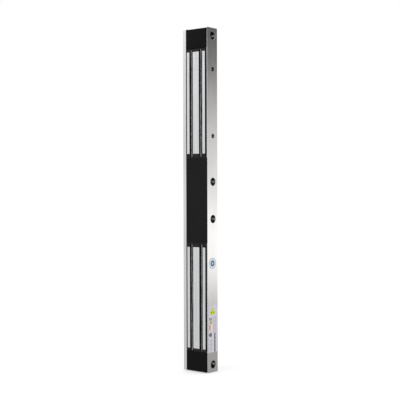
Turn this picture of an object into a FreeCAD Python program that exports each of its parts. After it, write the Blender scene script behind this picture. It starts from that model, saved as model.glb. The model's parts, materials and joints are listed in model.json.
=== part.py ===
import FreeCAD, Part

# Double magnetic door lock: a slim vertical bar with two electromagnets in one steel channel.
#
# Frame, in millimetres: X runs from the mounting face (x = 0) across the bar, Y from the pole
# faces (front, negative) to the channel's web (back), and Z along the bar. The origin is the
# centre of the mounting face.

import math
import os

import Sketcher

DIMENSIONS = {
    # channel and mounting plate
    "length": 530,
    "channel_depth": 27,
    "channel_width": 41.3,
    "wall": 1.2,
    "bend_outer": 0.5,
    "bend_inner": 0.3,
    "wall_setback": 1.9,
    "end_recess": 1.25,
    "plate_thickness": 5.2,
    "edge_break": 0.3,
    # electromagnets: an E-shaped core on each side of the middle
    "magnet_centre": 150.3,
    "core_length": 157,
    "core_width": 36,
    "core_height": 24,
    "outer_leg": 5.5,
    "centre_leg": 12.5,
    "yoke": 6,
    "pole_proud": 0.2,
    "inner_plate": 4.4,
    "outer_plate": 3.2,
    "end_plate_drop": 0.5,
    "bobbin_wall": 0.8,
    "flange_margin": 0.2,
    "coil_build": 5,
    "coil_corner": 4,
    "coil_front": 4.8,
    "coil_end_room": 0.6,
    # potting
    "potting_drop": 2.3,
    "slot_drop": 2.0,
    "meniscus": 0.7,
    # front cover, end blocks and the tray behind the cover
    "cover_half": 65.6,
    "block_start": 234,
    "lip": 2.7,
    "fit_gap": 0.15,
    "slip_gap": 0.1,
    "tray_half": 60.8,
    "tray_wall": 1.5,
    "rim_drop": 0.2,
    "skirt_depth": 3.4,
    "skirt_wall": 1.2,
    "rib_inner": 42,
    "rib_outer": 50,
    "block_chamfer": 0.5,
    "back_chamfer": 1.0,
    "lead_notch_left": 19,
    "lead_notch_right": 29,
    "lead_notch_back": -4.5,
    # through bolts, their sleeves and holes
    "bolt_y": 2.3,
    "inner_bolt_z": 28.6,
    "outer_bolt_z": 253.2,
    "bolt_radius": 2.95,
    "bolt_length": 30,
    "bolt_head_radius": 5,
    "bolt_head_height": 6,
    "bolt_tip": 0.6,
    "bolt_key": 5,
    "bolt_key_depth": 3,
    "tapped_radius": 3.0,
    "clear_radius": 3.3,
    "washer_radius": 5.9,
    "washer_height": 1.6,
    "washer_split": 0.8,
    "sleeve_radius": 7.75,
    "bore_radius": 6.25,
    # core screws
    "core_screw_y": 2.4,
    "core_screw_pitch": 102.6,
    "core_screw_radius": 1.95,
    "core_screw_head": 3.45,
    "core_screw_neck": 2.15,
    "core_screw_tip": 39.8,
    "core_screw_key": 3.0,
    "tap_margin": 0.05,
    "tap_run_out": 0.5,
    "countersink_radius": 3.6,
    "core_hole_radius": 2.2,
    # frame screws and cable entry in the mounting plate
    "frame_slot_width": 5.5,
    "frame_slot_length": 12,
    "frame_head_width": 10.5,
    "frame_head_depth": 2.8,
    "outer_slot_z": 215,
    "inner_slot_z": 80,
    "lock_hole_z": 150,
    "lock_hole_radius": 2.6,
    "cable_y": -0.5,
    "cable_z": 10,
    "cable_radius": 3.25,
    "grommet_start": 0.3,
    "grommet_radius": 5,
    "grommet_squeeze": 0.05,
    "grommet_flange": 6.4,
    "grommet_flange_wall": 1.4,
    # circuit board and its screws
    "board_front": 6.0,
    "board_wall": 1.6,
    "board_left": 10,
    "board_right": 42,
    "board_half": 20,
    "board_screw_inset": 3,
    "board_screw_radius": 1.2,
    "board_screw_gap": 0.2,
    "board_head_radius": 2.3,
    "board_head_height": 1.5,
    "boss_radius": 2.6,
    "boss_floor": 0.3,
    # screwdriver slots
    "driver_width": 0.9,
    "driver_depth": 0.8,
    "driver_reach": 1.4,
    # terminal block and its clamp screws
    "terminal_left": 31,
    "terminal_depth": 8.5,
    "terminal_height": 10,
    "terminal_pitch": 5.08,
    "terminal_ledge_width": 2,
    "terminal_ledge_depth": 3,
    "terminal_well_x": 36.05,
    "terminal_well_depth": 4.4,
    "terminal_screw_radius": 1.8,
    "terminal_screw_drop": 1,
    "terminal_screw_length": 3.2,
    "entry_front": 1.0,
    "entry_back": 4.4,
    "entry_half": 1.7,
    "entry_depth": 5,
    # parts soldered to the board
    "varistor_x": 18.5,
    "varistor_z": -14.8,
    "varistor_radius": 4.4,
    "varistor_wall": 3.6,
    "varistor_lift": 5.6,
    "varistor_leg_radius": 0.4,
    "varistor_leg_spread": 2.3,
    "rectifier_left": 12.5,
    "rectifier_right": 19,
    "rectifier_half": 4.15,
    "rectifier_height": 3.6,
    "rectifier_lift": 0.3,
    "rectifier_leg_z": 2.55,
    "rectifier_leg_half": 0.5,
    "rectifier_leg_reach": 0.4,
    "rectifier_leg_rise": 1.6,
    "header_x": 25,
    "header_z": -12.96,
    "header_half_width": 1.27,
    "header_half_length": 3.85,
    "header_height": 2.5,
    "pin_pitch": 2.54,
    "pin_radius": 0.32,
    "pin_height": 8.4,
    "cap_half_width": 1.2,
    "cap_length": 4.9,
    "cap_height": 6,
    "cap_gap": 0.1,
    "lead_radius": 0.7,
    "lead_left_x": 22,
    "lead_left_lean": -1.2,
    "lead_right_x": 26,
    "lead_right_lean": 1.4,
    "lead_rise_front": 6.4,
    "lead_rise_z": 53,
    "lead_crest_front": 7,
    "lead_crest_z": 43,
    "lead_fall_front": 6.8,
    "lead_fall_z": 34,
    "lead_fall_share": 0.7,
    "lead_dip_front": 6.7,
    "lead_dip_z": 25,
    "lead_dip_share": 0.2,
    "lead_end_front": 1.8,
    "lead_end_z": 18.4,
    # labels
    "label_wall": 0.15,
    "label_low": -233.9,
    "label_length": 72.2,
    "label_front": -10.1,
    "label_width": 21.8,
    "sticker_radius": 8.6,
    "sticker_y": 0.55,
    "sticker_z": -96.9,
}
TERMINAL_COUNT = 5
PIN_COUNT = 3
ARC_SHARE = 0.45  # share of the shorter run that an arc of a wire's path takes
TOUCH = 1e-4  # two lengths closer than this are the same
V = FreeCAD.Vector

doc = FreeCAD.newDocument("magnetic_lock")


# ---------------------------------------------------------------- driving dimensions
def make_sheet():
    """The sheet that every sub-part's sizes are bound to, and the same numbers by name."""
    sheet = doc.addObject("Spreadsheet::Sheet", "Sizes")
    for row, (alias, value) in enumerate(DIMENSIONS.items(), start=1):
        sheet.set(f"A{row}", alias)
        sheet.set(f"B{row}", str(value))
        sheet.setAlias(f"B{row}", alias)
    doc.recompute()
    return sheet


sizes = make_sheet()


def bound(expression):
    """The expression with each dimension's name pointing at its cell."""
    words, word = [], ""
    for letter in f"{expression} ":
        if letter.isalnum() or letter == "_":
            word += letter
            continue
        words.append(f"Sizes.{word}" if word in DIMENSIONS else word)
        words.append(letter)
        word = ""
    return "".join(words).strip()


def number(expression):
    """The expression's value in millimetres."""
    return float(sizes.evalExpression(bound(expression)))


# Places used by several sub-parts, as expressions of the sheet's dimensions.
FRONT = "(-channel_depth / 2)"
EDGE = "(wall_setback - channel_depth / 2)"
BACK = "(channel_depth / 2)"
WEB = "(channel_depth / 2 - wall)"
LEFT = "(plate_thickness + wall)"
RIGHT = "(plate_thickness + channel_width - wall)"
OUTSIDE = "(plate_thickness + channel_width)"
MIDDLE = "(plate_thickness + channel_width / 2)"
POLE = "(-channel_depth / 2 - pole_proud)"
SLOT_FLOOR = f"({POLE} + core_height - yoke)"
COIL_FACE = f"({POLE} + coil_front - bobbin_wall)"
TRAY_LEFT = f"({LEFT} + slip_gap)"
TRAY_RIGHT = f"({RIGHT} - slip_gap)"
TRAY_BACK = f"({WEB} - slip_gap)"
TRAY_RIM = f"({FRONT} + lip + rim_drop)"
TRAY_INSIDE = f"({TRAY_LEFT} + tray_wall)"
BEND_REACH = "bobbin_wall + coil_build + coil_end_room"
BLOCK_DEEP = f"(magnet_centre + core_length / 2 + outer_plate + {BEND_REACH} + slip_gap)"
UNDER_HEAD = "(bolt_tip + bolt_length)"
SEAT = "(bolt_tip + bolt_length - washer_height)"
BOLTS = {
    "upper_outer": "outer_bolt_z",
    "upper_inner": "inner_bolt_z",
    "lower_inner": "-inner_bolt_z",
    "lower_outer": "-outer_bolt_z",
}
SIDES = {"upper": 1, "lower": -1}


# ---------------------------------------------------------------- modelling helpers
def body(label):
    """A PartDesign body whose label names its file."""
    made = doc.addObject("PartDesign::Body", label)
    made.Label = label
    return made


def sketch(owner, plane, offset="0"):
    """A sketch on one of the body's own planes, moved along the plane's normal."""
    made = owner.newObject("Sketcher::SketchObject", "Outline")
    support = [f for f in owner.Origin.OriginFeatures if f.Role == plane][0]
    made.AttachmentSupport = [(support, "")]
    made.MapMode = "FlatFace"
    made.setExpression(".AttachmentOffset.Base.z", f"({bound(offset)}) * 1 mm")
    return made


def place_point(outline, geometry, end, x, y):
    """Binds one point of the outline to the sheet, measured from the sketch's origin."""
    for kind, value in (("DistanceX", x), ("DistanceY", y)):
        index = outline.addConstraint(
            Sketcher.Constraint(kind, -1, 1, geometry, end, number(value))
        )
        outline.setExpression(f"Constraints[{index}]", bound(value))


def polygon(outline, points):
    """A closed outline of straight lines through points given as expressions."""
    first = outline.GeometryCount
    corners = [V(number(x), number(y), 0) for x, y in points]
    count = len(corners)
    outline.addGeometry(
        [Part.LineSegment(corners[i], corners[(i + 1) % count]) for i in range(count)]
    )
    for i, (x, y) in enumerate(points):
        following = first + (i + 1) % count
        outline.addConstraint(
            Sketcher.Constraint("Coincident", first + i, 2, following, 1)
        )
        place_point(outline, first + i, 1, x, y)
    return outline


def rectangle(outline, x0, y0, x1, y1):
    """A closed rectangle between two corners given as expressions."""
    return polygon(outline, [(x0, y0), (x1, y0), (x1, y1), (x0, y1)])


def circle(outline, x, y, radius):
    """A circle with its centre and radius given as expressions."""
    index = outline.addGeometry(
        Part.Circle(V(number(x), number(y), 0), V(0, 0, 1), number(radius))
    )
    place_point(outline, index, 3, x, y)
    limit = outline.addConstraint(
        Sketcher.Constraint("Radius", index, number(radius))
    )
    outline.setExpression(f"Constraints[{limit}]", bound(radius))
    return outline


def slot(outline, x, y, width, height):
    """An upright slot with round ends, centred on a point."""
    first = outline.GeometryCount
    cx, cy, radius = number(x), number(y), number(width) / 2
    reach = number(height) / 2 - radius
    ends = (f"({y}) + ({height} - {width}) / 2", f"({y}) - ({height} - {width}) / 2")
    outline.addGeometry(
        [
            Part.ArcOfCircle(
                Part.Circle(V(cx, cy + reach, 0), V(0, 0, 1), radius), 0, math.pi
            ),
            Part.LineSegment(V(cx - radius, cy + reach, 0), V(cx - radius, cy - reach, 0)),
            Part.ArcOfCircle(
                Part.Circle(V(cx, cy - reach, 0), V(0, 0, 1), radius), math.pi, 2 * math.pi
            ),
            Part.LineSegment(V(cx + radius, cy - reach, 0), V(cx + radius, cy + reach, 0)),
        ]
    )
    arcs = (first, first + 2)
    for a, a_end, b, b_end in ((0, 2, 1, 1), (1, 2, 2, 1), (2, 2, 3, 1), (3, 2, 0, 1)):
        outline.addConstraint(
            Sketcher.Constraint("Tangent", first + a, a_end, first + b, b_end)
        )
    for arc, end in zip(arcs, ends):
        place_point(outline, arc, 3, x, end)
    limit = outline.addConstraint(Sketcher.Constraint("Radius", first, radius))
    outline.setExpression(f"Constraints[{limit}]", bound(f"({width}) / 2"))
    return outline


def pad(owner, outline, length, other_way=False):
    """Adds the outline's solid to the body."""
    made = owner.newObject("PartDesign::Pad", "Pad")
    made.Profile = outline
    made.setExpression("Length", bound(length))
    made.Reversed = other_way
    return made


def pocket(owner, outline, length, other_way=False):
    """Cuts the outline from the body. Stops if it misses the solid."""
    doc.recompute()
    before = owner.Shape.Volume
    made = owner.newObject("PartDesign::Pocket", "Pocket")
    made.Profile = outline
    made.setExpression("Length", bound(length))
    made.Reversed = other_way
    doc.recompute()
    if owner.Shape.Volume > before - TOUCH:
        raise RuntimeError(f"a pocket in {owner.Label} cuts nothing")
    return made


def edges_of(owner, wanted):
    """Names of the body's edges whose bounding box passes the test."""
    doc.recompute()
    return [
        f"Edge{i}"
        for i, edge in enumerate(owner.Shape.Edges, start=1)
        if wanted(edge.BoundBox)
    ]


def dress(owner, kind, size, wanted):
    """A fillet or chamfer on the edges that pass the test."""
    names = edges_of(owner, wanted)
    if not names:
        raise RuntimeError(f"no edge of {owner.Label} to dress")
    base = owner.Tip
    made = owner.newObject(f"PartDesign::{kind}", kind)
    made.Base = (base, names)
    made.setExpression("Radius" if kind == "Fillet" else "Size", bound(size))
    doc.recompute()
    return made


def near(first, second):
    """Whether two lengths are the same."""
    return abs(first - second) < TOUCH


def lies_on(value):
    """A test for edges that lie in the plane y = value."""
    level = number(value)
    return lambda b: near(b.YMin, level) and near(b.YMax, level)


def along_z(value):
    """A test for edges that run along Z in the plane y = value."""
    level = lies_on(value)
    return lambda b: level(b) and b.ZLength > TOUCH and b.XLength < TOUCH


def round_rims(value):
    """A test for the rims of round holes in the plane x = value."""
    level = number(value)
    return lambda b: near(b.XMin, level) and near(b.YLength, b.ZLength)


def primitive(kind, name, **values):
    """A Part primitive with its sizes bound to the sheet."""
    made = doc.addObject(f"Part::{kind}", name)
    for key, value in values.items():
        made.setExpression(key, bound(value))
    return made


def moved(made, x, y, z, axis=None, angle=0):
    """Places an object, with its origin bound to the sheet."""
    if axis is not None:
        made.Placement.Rotation = FreeCAD.Rotation(axis, angle)
    for key, value in zip("xyz", (x, y, z)):
        made.setExpression(f".Placement.Base.{key}", f"({bound(value)}) * 1 mm")
    return made


def box(name, x0, y0, z0, x1, y1, z1):
    """A box between two corners."""
    made = primitive(
        "Box",
        name,
        Length=f"({x1}) - ({x0})",
        Width=f"({y1}) - ({y0})",
        Height=f"({z1}) - ({z0})",
    )
    return moved(made, x0, y0, z0)


def rod_x(name, radius, x0, x1, y, z):
    """A cylinder along X."""
    made = primitive("Cylinder", name, Radius=radius, Height=f"({x1}) - ({x0})")
    return moved(made, x0, y, z, V(0, 1, 0), 90)


def rod_y(name, radius, y0, y1, x, z):
    """A cylinder along Y."""
    made = primitive("Cylinder", name, Radius=radius, Height=f"({y1}) - ({y0})")
    return moved(made, x, y0, z, V(1, 0, 0), -90)


def cone_x(name, radius0, radius1, x0, x1, y, z):
    """A cone along X, from radius0 at x0 to radius1 at x1."""
    made = primitive(
        "Cone", name, Radius1=radius0, Radius2=radius1, Height=f"({x1}) - ({x0})"
    )
    return moved(made, x0, y, z, V(0, 1, 0), 90)


def hexagon_x(name, across, x0, x1, y, z):
    """A hexagonal prism along X, given across its flats."""
    made = primitive(
        "Prism", name, Circumradius=f"({across}) / sqrt(3)", Height=f"({x1}) - ({x0})"
    )
    made.Polygon = 6
    return moved(made, x0, y, z, V(0, 1, 0), 90)


def fuse(name, *shapes):
    """The union of several objects."""
    made = doc.addObject("Part::MultiFuse", name)
    made.Shapes = list(shapes)
    return made


def cut(name, base, *tools):
    """An object less the others."""
    made = doc.addObject("Part::Cut", name)
    made.Base = base
    made.Tool = tools[0] if len(tools) == 1 else fuse(f"{name}_tools", *tools)
    return made


def group(name, members):
    """Identical pieces kept as separate solids of one sub-part."""
    made = doc.addObject("Part::Compound", name)
    made.Links = list(members)
    return made


# ---------------------------------------------------------------- channel and mounting plate
def screw_heights(name):
    """Heights of a magnet's two core screws."""
    return [f"{SIDES[name]} * magnet_centre {end} core_screw_pitch / 2" for end in "+-"]


def make_channel():
    """Folded steel channel that holds everything, with the bolt and screw holes."""
    channel = body("folded_channel")
    profile = polygon(
        sketch(channel, "XY_Plane", "-length / 2"),
        [
            ("plate_thickness", EDGE),
            (LEFT, EDGE),
            (LEFT, WEB),
            (RIGHT, WEB),
            (RIGHT, EDGE),
            (OUTSIDE, EDGE),
            (OUTSIDE, BACK),
            ("plate_thickness", BACK),
        ],
    )
    pad(channel, profile, "length")
    for level, size in ((BACK, "bend_outer"), (WEB, "bend_inner"), (EDGE, "edge_break")):
        dress(channel, "Fillet", size, along_z(level))
    bolt_holes = sketch(channel, "YZ_Plane", OUTSIDE)
    for z in BOLTS.values():
        circle(bolt_holes, "bolt_y", z, "bore_radius")
    pocket(channel, bolt_holes, "wall")
    dress(channel, "Chamfer", "edge_break", round_rims(OUTSIDE))
    left_holes = sketch(channel, "YZ_Plane", LEFT)
    for z in BOLTS.values():
        circle(left_holes, "bolt_y", z, "clear_radius")
    circle(left_holes, "cable_y", "cable_z", "grommet_radius")
    pocket(channel, left_holes, "wall")
    countersinks = [
        cone_x(
            f"{name}_countersink_{i}",
            "core_hole_radius",
            "countersink_radius",
            RIGHT,
            OUTSIDE,
            "core_screw_y",
            z,
        )
        for name in SIDES
        for i, z in enumerate(screw_heights(name))
    ]
    return cut("housing_channel", channel, *countersinks)


def make_mounting_plate():
    """Aluminium bar that screws to the door frame. Its lip hooks over the channel's left wall."""
    plate = body("mounting_plate")
    hook = f"({EDGE} - slip_gap)"
    profile = polygon(
        sketch(plate, "XY_Plane", "end_recess - length / 2"),
        [
            ("0", FRONT),
            (LEFT, FRONT),
            (LEFT, hook),
            ("plate_thickness", hook),
            ("plate_thickness", BACK),
            ("0", BACK),
        ],
    )
    pad(plate, profile, "length - 2 * end_recess")
    for level in (FRONT, BACK):
        dress(plate, "Chamfer", "edge_break", along_z(level))
    round_holes = sketch(plate, "YZ_Plane", "plate_thickness")
    for z in BOLTS.values():
        circle(round_holes, "bolt_y", z, "tapped_radius")
    circle(round_holes, "cable_y", "cable_z", "grommet_radius")
    lock_heads = sketch(plate, "YZ_Plane", "plate_thickness")
    for z in ("lock_hole_z", "-lock_hole_z"):
        circle(round_holes, "0", z, "lock_hole_radius")
        circle(lock_heads, "0", z, "frame_head_width / 2")
    slots = sketch(plate, "YZ_Plane", "plate_thickness")
    slot_heads = sketch(plate, "YZ_Plane", "plate_thickness")
    head_length = "(frame_slot_length + frame_head_width - frame_slot_width)"
    for z in ("outer_slot_z", "inner_slot_z", "-inner_slot_z", "-outer_slot_z"):
        slot(slots, "0", z, "frame_slot_width", "frame_slot_length")
        slot(slot_heads, "0", z, "frame_head_width", head_length)
    pocket(plate, round_holes, "plate_thickness")
    pocket(plate, slots, "plate_thickness")
    pocket(plate, slot_heads, "frame_head_depth")
    pocket(plate, lock_heads, "frame_head_depth")
    return plate


def make_grommet():
    """Rubber bush that lines the cable's way in through the plate, channel and tray."""
    at = ("cable_y", "cable_z")
    flange_end = f"{TRAY_INSIDE} + grommet_flange_wall"
    stem_radius = "grommet_radius - grommet_squeeze"
    stem = rod_x("grommet_stem", stem_radius, "grommet_start", TRAY_INSIDE, *at)
    flange = rod_x("grommet_flange", "grommet_flange", TRAY_INSIDE, flange_end, *at)
    bore = rod_x("grommet_bore", "cable_radius", "0", f"{flange_end} + slip_gap", *at)
    return cut("cable_grommet", fuse("grommet_outside", stem, flange), bore)


# ---------------------------------------------------------------- electromagnets
def e_profile(outline, front):
    """The E outline of a core or end plate: yoke at the back, three legs to the front."""
    back = f"({POLE} + core_height)"
    left, right = f"({MIDDLE} - core_width / 2)", f"({MIDDLE} + core_width / 2)"
    inner_left, inner_right = f"({left} + outer_leg)", f"({right} - outer_leg)"
    leg_left, leg_right = f"({MIDDLE} - centre_leg / 2)", f"({MIDDLE} + centre_leg / 2)"
    return polygon(
        outline,
        [
            (left, front),
            (inner_left, front),
            (inner_left, SLOT_FLOOR),
            (leg_left, SLOT_FLOOR),
            (leg_left, front),
            (leg_right, front),
            (leg_right, SLOT_FLOOR),
            (inner_right, SLOT_FLOOR),
            (inner_right, front),
            (right, front),
            (right, back),
            (left, back),
        ],
    )


def slot_sides():
    """Left and right side of each of the two winding slots, along X."""
    leg, wall = "centre_leg / 2", "(core_width / 2 - outer_leg)"
    return [
        (f"({MIDDLE} - {wall})", f"({MIDDLE} - {leg})"),
        (f"({MIDDLE} + {leg})", f"({MIDDLE} + {wall})"),
    ]


def core_span(name):
    """Low and high end of a magnet's core along Z."""
    centre = f"{SIDES[name]} * magnet_centre"
    return f"({centre} - core_length / 2)", f"({centre} + core_length / 2)"


def plate_sizes(name):
    """Thickness of the end plates below and above a magnet's core."""
    return ("inner_plate", "outer_plate") if name == "upper" else ("outer_plate", "inner_plate")


def winding_span(name, extra="0"):
    """Low and high end of the bobbin's opening along Z, grown by extra."""
    low, high = core_span(name)
    below, above = plate_sizes(name)
    return f"({low} - {below} - ({extra}))", f"({high} + {above} + ({extra}))"


def make_core(name):
    """Stack of E laminations, its three pole faces ground at the front."""
    low, _ = core_span(name)
    stack = body(f"{name}_lamination_stack")
    pad(stack, e_profile(sketch(stack, "XY_Plane", low), POLE), "core_length")
    dress(stack, "Chamfer", "edge_break", lies_on(POLE))
    holes = [
        rod_x(
            f"{name}_core_tap_{i}",
            "core_screw_radius + tap_margin",
            "core_screw_tip - tap_run_out",
            OUTSIDE,
            "core_screw_y",
            z,
        )
        for i, z in enumerate(screw_heights(name))
    ]
    return cut(f"{name}_core", stack, *holes)


def make_end_plate(name, position):
    """Black plate of the same E shape that clamps one end of the laminations."""
    low, high = core_span(name)
    below, above = plate_sizes(name)
    where, size = (f"{low} - {below}", below) if position == "lower" else (high, above)
    plate = body(f"{name}_core_{position}_plate")
    front = f"({POLE} + end_plate_drop)"
    pad(plate, e_profile(sketch(plate, "XY_Plane", where), front), size)
    return plate


def ring(owner, offset, name, inside, outside):
    """A rectangular ring round the centre leg, in a sketch that faces the front."""
    outline = sketch(owner, "XZ_Plane", offset)
    for grow in (inside, outside):
        low, high = winding_span(name, grow)
        reach = f"(centre_leg / 2 + ({grow}))"
        rectangle(outline, f"{MIDDLE} - {reach}", low, f"{MIDDLE} + {reach}", high)
    return outline


def make_bobbin(name):
    """Nylon bobbin round the centre leg, with a flange at the front and one at the yoke."""
    bobbin = body(f"{name}_bobbin")
    pad(bobbin, ring(bobbin, f"-{SLOT_FLOOR}", name, "0", "bobbin_wall"), f"{SLOT_FLOOR} - {COIL_FACE}")
    wide = "bobbin_wall + coil_build + flange_margin"
    for level in (f"-{SLOT_FLOOR}", f"-{COIL_FACE} - bobbin_wall"):
        pad(bobbin, ring(bobbin, level, name, "0", wide), "bobbin_wall")
    return bobbin


def make_coil(name):
    """Copper winding on the bobbin, with rounded corners."""
    coil = body(f"{name}_coil")
    outline = ring(
        coil, f"bobbin_wall - {SLOT_FLOOR}", name, "bobbin_wall", "bobbin_wall + coil_build"
    )
    pad(coil, outline, f"{SLOT_FLOOR} - {COIL_FACE} - 2 * bobbin_wall")
    ends = [number(end) for end in winding_span(name, "bobbin_wall + coil_build")]
    dress(
        coil,
        "Fillet",
        "coil_corner",
        lambda b: b.YLength > TOUCH and any(near(b.ZMin, z) and near(b.ZMax, z) for z in ends),
    )
    return coil


def make_slot_fill(name):
    """Epoxy over the winding in the two slots, with a hollow surface."""
    low, high = winding_span(name)
    surface = f"{POLE} + slot_drop"
    strips = []
    for i, (x0, x1) in enumerate(slot_sides()):
        block = box(f"{name}_strip_{i}", x0, surface, low, x1, COIL_FACE, high)
        # the hollow is a cylinder that dips by the meniscus across the slot's width
        half = f"(({x1}) - ({x0})) / 2"
        radius = f"({half} * {half} + meniscus * meniscus) / (2 * meniscus)"
        hollow = primitive(
            "Cylinder", f"{name}_hollow_{i}", Radius=radius, Height=f"({high}) - ({low})"
        )
        moved(hollow, f"(({x0}) + ({x1})) / 2", f"{surface} + meniscus - {radius}", low)
        strips.append(cut(f"{name}_meniscus_{i}", block, hollow))
    return group(f"{name}_slot_fill", strips)


def make_potting(name, solids):
    """Epoxy that seals the magnet into the channel: the cavity less everything in it."""
    edges = [
        f"{SIDES[name]} * (cover_half + slip_gap)",
        f"{SIDES[name]} * (block_start - slip_gap)",
    ]
    low, high = sorted(edges, key=number)
    surface = f"({POLE} + potting_drop)"
    under_lip = f"({FRONT} + lip + slip_gap)"
    deep_low, deep_high = winding_span(name, BEND_REACH)
    fill = fuse(
        f"{name}_fill",
        box(f"{name}_fill_main", LEFT, surface, low, RIGHT, WEB, high),
        box(f"{name}_fill_tongue", LEFT, under_lip, deep_low, RIGHT, WEB, deep_high),
    )
    core_low, core_high = winding_span(name)
    slots = [
        box(f"{name}_slot_room_{i}", x0, POLE, core_low, x1, COIL_FACE, core_high)
        for i, (x0, x1) in enumerate(slot_sides())
    ]
    return cut(f"{name}_potting", fill, *solids, *slots)


def make_magnet(name, channel):
    """The sub-parts of one electromagnet, and the screws that hold its core."""
    screws = [make_core_screw(f"{name}_screw_{i}", z) for i, z in enumerate(screw_heights(name))]
    core = make_core(name)
    inner = [
        make_end_plate(name, "lower"),
        make_end_plate(name, "upper"),
        make_bobbin(name),
        make_coil(name),
    ]
    # the epoxy runs neither into the tapped holes nor into the screws' keys
    plain = [core.Base, *(screw.Base for screw in screws)]
    potting = make_potting(name, [*plain, *inner, channel])
    return [core, *inner, make_slot_fill(name), potting], screws


# ---------------------------------------------------------------- cover, blocks and tray
def face_block(owner, low, high, flange=False):
    """The chamfered black face between two heights. A flange covers the right wall's edge."""
    reaches = [(f"({RIGHT} - fit_gap)", "lip")]
    if flange:
        reaches.append((OUTSIDE, "wall_setback - slip_gap"))
    for right, depth in reaches:
        front = sketch(owner, "XZ_Plane", f"-{FRONT}")
        pad(owner, rectangle(front, f"({LEFT} + fit_gap)", low, right, high), depth, other_way=True)
    dress(owner, "Chamfer", "block_chamfer", lies_on(FRONT))


def make_cover():
    """Black lid over the wiring space. Its skirt is a push fit in the tray."""
    cover = body("centre_cover")
    face_block(cover, "-cover_half", "cover_half", flange=True)
    skirt = sketch(cover, "XZ_Plane", f"-{FRONT} - lip")
    for inset in ("fit_gap", "(fit_gap + skirt_wall)"):
        reach = f"(tray_half - tray_wall - {inset})"
        x0, x1 = f"{TRAY_INSIDE} + {inset}", f"{TRAY_RIGHT} - tray_wall - {inset}"
        rectangle(skirt, x0, f"-{reach}", x1, reach)
    pad(cover, skirt, "skirt_depth", other_way=True)
    ribs = sketch(cover, "XZ_Plane", f"-{FRONT} - lip")
    inset = "(fit_gap + skirt_wall / 2)"
    for z in ("rib_outer", "rib_inner", "-rib_inner", "-rib_outer"):
        x0, x1 = f"{TRAY_INSIDE} + {inset}", f"{TRAY_RIGHT} - tray_wall - {inset}"
        rectangle(ribs, x0, f"{z} - skirt_wall / 2", x1, f"{z} + skirt_wall / 2")
    pad(cover, ribs, "skirt_depth / 2", other_way=True)
    return cover


def make_end_block(name):
    """Black block that fills the channel's end, with a lip over the coil's end."""
    side = SIDES[name]
    block = body(f"{name}_end_block")
    tip = f"{side} * (length / 2 - end_recess)"
    face_block(block, *sorted((f"{side} * block_start", tip), key=number))
    low, high = sorted((f"{side} * {BLOCK_DEEP}", tip), key=number)
    inner = rectangle(
        sketch(block, "XZ_Plane", f"-{FRONT} - lip"),
        f"({LEFT} + fit_gap)",
        low,
        f"({RIGHT} - fit_gap)",
        high,
    )
    pad(block, inner, f"{TRAY_BACK} - {FRONT} - lip", other_way=True)
    dress(block, "Chamfer", "back_chamfer", along_z(TRAY_BACK))
    bore = circle(
        sketch(block, "YZ_Plane", RIGHT),
        "bolt_y",
        f"{side} * outer_bolt_z",
        "sleeve_radius + slip_gap",
    )
    pocket(block, bore, "channel_width")
    return block


def make_tray():
    """Black tray behind the cover, with notches for the sleeves and bosses for the board."""
    tray = body("terminal_tray")
    outside = rectangle(
        sketch(tray, "XZ_Plane", f"-{TRAY_BACK}"), TRAY_LEFT, "-tray_half", TRAY_RIGHT, "tray_half"
    )
    pad(tray, outside, f"{TRAY_BACK} - {TRAY_RIM}")
    dress(tray, "Chamfer", "back_chamfer", along_z(TRAY_BACK))
    hollow = rectangle(
        sketch(tray, "XZ_Plane", f"-{TRAY_RIM}"),
        TRAY_INSIDE,
        "tray_wall - tray_half",
        f"{TRAY_RIGHT} - tray_wall",
        "tray_half - tray_wall",
    )
    pocket(tray, hollow, f"{TRAY_BACK} - {TRAY_RIM} - tray_wall")
    boss_height = f"{TRAY_BACK} - tray_wall - board_front - board_wall"
    bosses = sketch(tray, "XZ_Plane", f"tray_wall - {TRAY_BACK}")
    pilots = sketch(tray, "XZ_Plane", "-(board_front + board_wall)")
    for x, z in board_holes():
        circle(bosses, x, z, "boss_radius")
        circle(pilots, x, z, "board_screw_radius + tap_margin")
    pad(tray, bosses, boss_height)
    pocket(tray, pilots, f"{boss_height} - boss_floor")
    notches = sketch(tray, "YZ_Plane", f"{TRAY_RIGHT}")
    seats = sketch(tray, "YZ_Plane", f"{TRAY_RIGHT}")
    reach = "(sleeve_radius + slip_gap)"
    for z in ("inner_bolt_z", "-inner_bolt_z"):
        rectangle(notches, FRONT, f"{z} - {reach}", "bolt_y", f"{z} + {reach}")
        circle(seats, "bolt_y", z, reach)
    pocket(tray, notches, "channel_width")
    pocket(tray, seats, "channel_width")
    entry = circle(
        sketch(tray, "YZ_Plane", TRAY_INSIDE), "cable_y", "cable_z", "grommet_radius"
    )
    pocket(tray, entry, "tray_wall")
    lead_notch = rectangle(
        sketch(tray, "XY_Plane", "tray_half"),
        "lead_notch_left",
        FRONT,
        "lead_notch_right",
        "lead_notch_back",
    )
    pocket(tray, lead_notch, "2 * tray_half")
    return tray


# ---------------------------------------------------------------- fasteners
def make_sleeve(name, z):
    """Steel spacer across the channel, counterbored for a bolt head."""
    tube = rod_x(f"{name}_tube", "sleeve_radius", LEFT, RIGHT, "bolt_y", z)
    wide = rod_x(f"{name}_counterbore", "bore_radius", SEAT, RIGHT, "bolt_y", z)
    narrow = rod_x(f"{name}_bore", "clear_radius", LEFT, SEAT, "bolt_y", z)
    return cut(f"{name}_sleeve", tube, wide, narrow)


def make_washer(name, z):
    """Spring washer under a bolt head."""
    disc = rod_x(f"{name}_disc", "washer_radius", SEAT, UNDER_HEAD, "bolt_y", z)
    hole = rod_x(f"{name}_hole", "clear_radius", SEAT, UNDER_HEAD, "bolt_y", z)
    split = box(
        f"{name}_split",
        SEAT,
        "bolt_y",
        f"{z} - washer_split / 2",
        UNDER_HEAD,
        "bolt_y + bore_radius",
        f"{z} + washer_split / 2",
    )
    return cut(f"{name}_washer", disc, hole, split)


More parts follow.
